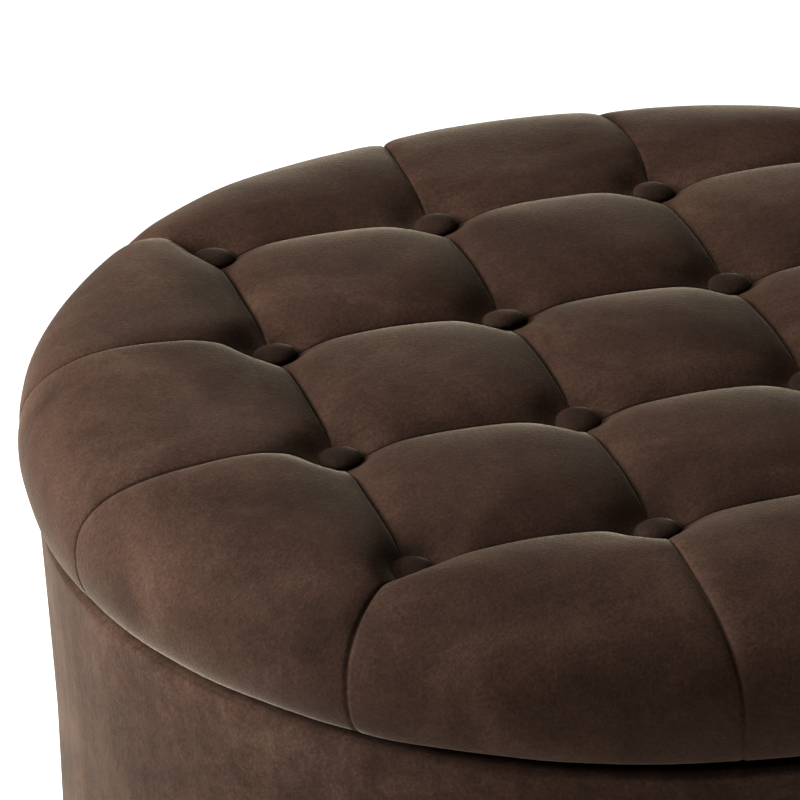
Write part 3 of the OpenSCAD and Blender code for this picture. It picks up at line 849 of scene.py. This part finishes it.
def wrap_profile():
    """Velvet strip: a folded lip outside, over the rim, and down the inside of the ring."""
    out_r = DRUM_R - 0.6 * MM
    in_r = wrap_lining_r
    top = RIM_Z
    t = WRAP_T
    points = [(out_r - t, top - LIP_DROP), (out_r - 0.2 * MM, top - LIP_DROP - 0.6 * MM)]
    points += [(out_r, top - LIP_DROP + 0.5 * MM)]
    points += arc(out_r - EDGE_R, top - EDGE_R, EDGE_R, 0, 90, 7)
    points += [(r, top) for r in np.linspace(out_r - 2 * EDGE_R, in_r + 2 * EDGE_R, 6)]
    points += arc(in_r + EDGE_R, top - EDGE_R, EDGE_R, 90, 180, 7)
    points += [(in_r, ring_lo.z + 1 * MM), (in_r + 0.6 * MM, ring_lo.z), (in_r + t, ring_lo.z + 1 * MM)]
    points += [(in_r + t, top - EDGE_R)] + arc(in_r + EDGE_R, top - EDGE_R, EDGE_R - t, 180, 90, 5)
    points += arc(out_r - EDGE_R, top - EDGE_R, EDGE_R - t, 90, 0, 5)
    return points


wrap = lathe("rim_wrap_velvet", wrap_profile(), SIDE_VELVET, segments=360, shape=wrap_shape)
finish_piece(wrap, "base", "velvet", "rim_wrap")


# ---------------------------------------------------------------- linings
def lining_shape(r, a, z):
    """Lining cloth between the posts: soft vertical slack that fades at the floor and at the rim."""
    height = (z - lining_lo.z) / (lining_hi.z - lining_lo.z)
    slack = math.sin(math.pi * min(max(height, 0), 1)) ** 0.5
    fold = noise.noise(Vector((math.cos(a) * 9, math.sin(a) * 9, z * 2.5)))
    fine = noise.noise(Vector((math.cos(a) * 34, math.sin(a) * 34, z * 6)))
    return r + slack * (0.9 * MM * fold + 0.4 * MM * fine), z


def lining_profile():
    outer_r = lining_hi.x - 0.1 * MM
    inner_r = lining_hi.x - LINING_T
    heights = np.linspace(lining_lo.z + 1 * MM, lining_hi.z - 1 * MM, 30)
    return [(inner_r, z) for z in heights] + [(outer_r, lining_hi.z - 0.2 * MM), (outer_r, lining_lo.z + 0.2 * MM)]


inner_lining = lathe("inner_lining_cloth", lining_profile(), WALL_LINING, segments=288, shape=lining_shape)
finish_piece(inner_lining, "base", "lining", "inner_lining")


def disc_profile(radius, low, high, edge, rings=14):
    """A padded disc with a rolled edge, from its middle underneath to its middle on top."""
    points = [(radius * k / rings, low) for k in range(1, rings)]
    points += [(radius - edge, low), (radius, low + edge * 0.5)]
    points += [(radius, high - edge * 0.5), (radius - edge, high)]
    points += [(radius * k / rings, high) for k in range(rings - 1, 0, -1)]
    return points


def soft_disc(name, radius, low, high, material, wave):
    """A disc of cloth with a gentle ripple that fades at its edge."""
    def ripple(r, a, z):
        lift = wave * noise.noise(Vector((r * math.cos(a) * 14, r * math.sin(a) * 14, 2.0)))
        return r, z + lift * smoothstep((radius - r) / (30 * MM))
    return lathe(name, disc_profile(radius, low, high, (high - low) * 0.5), material, 160, ripple, closed=False)


floor_liner = soft_disc("floor_liner_cloth", liner_hi.x, liner_lo.z + 0.3 * MM, liner_hi.z, LINING, 0.3 * MM)
finish_piece(floor_liner, "base", "lining", "floor_liner")
lid_lining = soft_disc("lid_lining_cloth", under_hi.x, under_lo.z - 0.2 * MM, under_hi.z, LINING, 0.15 * MM)
finish_piece(lid_lining, "lid", "lining", "lid_lining")


# ---------------------------------------------------------------- feet
FOOT_TOP_R = 24 * MM
FOOT_TAPER = 0.67
FOOT_STEPS = 8
GLIDE_R = 13 * MM


def turned_foot(x, y, index):
    """A tapered turned foot with a bead under its top."""
    top = feet_hi.z
    low = feet_lo.z
    r_top = FOOT_TOP_R
    r_low = r_top * FOOT_TAPER
    points = [(r_low - 2 * MM, low), (r_low, low + 1.5 * MM)]
    for k in range(1, FOOT_STEPS + 1):
        points.append((r_low + (r_top * 0.93 - r_low) * k / FOOT_STEPS,
                       low + 1.5 * MM + (top - low - 9 * MM) * k / FOOT_STEPS))
    points += [(r_top * 0.90, top - 6.8 * MM), (r_top * 0.955, top - 6.2 * MM)]
    points += arc(r_top - 2.6 * MM, top - 3.2 * MM, 2.6 * MM, -60, 60, 6)
    points += [(r_top - 4 * MM, top)]
    return lathe(f"foot_{index}", points, FOOT_WOOD, 64, closed=False, centre=(x, y))


def glide(x, y, index):
    """A moulded glide nailed under the foot."""
    r = GLIDE_R
    high = glide_hi.z
    points = [(r - 3.5 * MM, 0.0), (r - 1.6 * MM, 0.3 * MM), (r - 0.4 * MM, 1.2 * MM), (r, 2.2 * MM), (r, high)]
    return lathe(f"glide_{index}", points, GLIDE, 48, closed=False, centre=(x, y))


foot_xy = glide_hi.x - GLIDE_R
spots = [(sx * foot_xy, sy * foot_xy) for sx in (1, -1) for sy in (1, -1)]
feet = joined("turned_feet", [turned_foot(x, y, k) for k, (x, y) in enumerate(spots)], FOOT_WOOD)
finish_piece(feet, "base", "foot_wood", "feet")
glides = joined("nailed_glides", [glide(x, y, k) for k, (x, y) in enumerate(spots)], GLIDE)
finish_piece(glides, "base", "glide_plastic", "foot_glides")


def dust_shape(r, a, z):
    """Dust cloth sagging a little between its staples and flat against the feet."""
    p = Vector((r * math.cos(a), r * math.sin(a), 0))
    near_foot = min((p - Vector((x, y, 0))).length for x, y in spots)
    free = smoothstep((near_foot - 26 * MM) / (60 * MM)) * smoothstep((dust_hi.x - r) / (60 * MM))
    return r, z - free * (0.8 * MM + 0.8 * MM * noise.noise(p * 16))


dust = lathe("dust_cover_cloth", disc_profile(dust_hi.x, dust_lo.z, dust_hi.z - 0.2 * MM, 0.3 * MM, rings=20),
             DUST_CLOTH, 144, dust_shape, closed=False)
finish_piece(dust, "base", "dust_cloth", "dust_cover")


# ---------------------------------------------------------------- finishes for the CAD nodes that stay
FINISH = {
    "plywood": PLYWOOD,
    "zinc_steel": ZINC,
    "hinge_steel": NICKEL,
    "foam": FOAM,
    "wadding": WADDING,
    "lining": LINING,
    "velvet": SIDE_VELVET,
    "dust_cloth": DUST_CLOTH,
    "foot_wood": FOOT_WOOD,
    "glide_plastic": GLIDE,
    "bumper_rubber": RUBBER,
    "twine": TWINE,
}
for part in frame["record"]["subparts"]:
    node = nodes[part["node"]]
    for place in node.material_slots:
        place.material = FINISH[part["material_slot"]]


# ---------------------------------------------------------------- floor and light
FLOOR_GLOW = 0.30
SURROUND = 0.04
LIGHT_AIM = (0, 0, 0.4)


def make_stage():
    """A pale floor that runs out of view on every side."""
    s = Shader("pale_floor", 0.9)
    tone = s.ramp(s.noise(3.0), [(0.3, (0.88, 0.88, 0.88)), (0.7, (0.92, 0.92, 0.92))])
    s.colour(tone)
    s.bsdf.inputs["Emission Color"].default_value = (1, 1, 1, 1)
    s.bsdf.inputs["Emission Strength"].default_value = FLOOR_GLOW
    mesh = bpy.data.meshes.new("floor")
    half = 30.0
    mesh.from_pydata([(-half, -half, 0), (half, -half, 0), (half, half, 0), (-half, half, 0)], [], [(0, 1, 2, 3)])
    add_object("floor", mesh, s.material, smooth=False)


def area_light(name, place, size, power):
    """A round lamp that points at the ottoman."""
    data = bpy.data.lights.new(name, "AREA")
    data.shape = "DISK"
    data.size = size
    data.energy = power
    light = bpy.data.objects.new(name, data)
    light.location = place
    light.rotation_euler = (Vector(place) - Vector(LIGHT_AIM)).to_track_quat("Z", "Y").to_euler()
    bpy.context.scene.collection.objects.link(light)


def sun_light(name, direction, spread, strength):
    """Even light from a direction, softened by its spread in degrees."""
    data = bpy.data.lights.new(name, "SUN")
    data.angle = math.radians(spread)
    data.energy = strength
    light = bpy.data.objects.new(name, data)
    light.rotation_euler = Vector(direction).to_track_quat("Z", "Y").to_euler()
    bpy.context.scene.collection.objects.link(light)


def make_light():
    """Soft light from above and left, a little behind, with a faint white surround."""
    world = bpy.data.worlds.new("surround")
    world.use_nodes = True
    world.node_tree.nodes["Background"].inputs["Color"].default_value = (1, 1, 1, 1)
    world.node_tree.nodes["Background"].inputs["Strength"].default_value = SURROUND
    bpy.context.scene.world = world
    sun_light("sky_left", (-1.0, 0.32, 0.98), 60, 4.2)
    area_light("key_left", (-1.0, 0.25, 0.72), 0.5, 30)
    bpy.context.scene.view_settings.view_transform = "Standard"


make_stage()
make_light()
